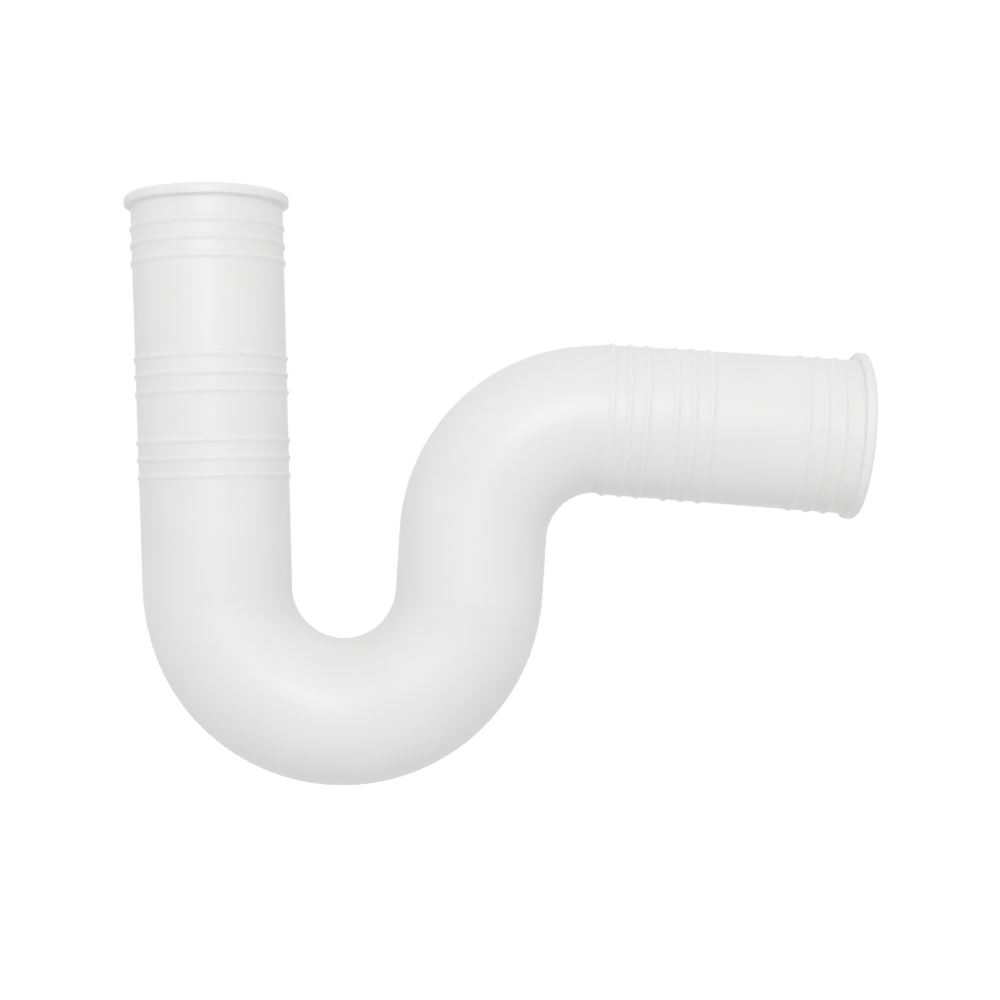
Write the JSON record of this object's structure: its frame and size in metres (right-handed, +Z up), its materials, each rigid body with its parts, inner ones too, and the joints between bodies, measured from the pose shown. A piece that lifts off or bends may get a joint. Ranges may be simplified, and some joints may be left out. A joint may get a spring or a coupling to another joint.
{
  "type": "flexible sink trap",
  "caption": "One-piece flexible P-trap for a sink: upright ribbed inlet socket, U bend that holds the water seal, and a level ribbed outlet socket.",
  "frame": {"origin": "Centre of the inlet mouth, on the axis of the inlet socket", "axes": "+Z is up and out of the inlet mouth, +X is the way the outlet runs, y = 0 is the plane of symmetry"},
  "size_m": [0.2222, 0.0502, 0.179],
  "materials": {
    "white_elastomer": "satin"
  },
  "bodies": {
    "root": {"trap_body": "white_elastomer"}
  },
  "joints": []
}
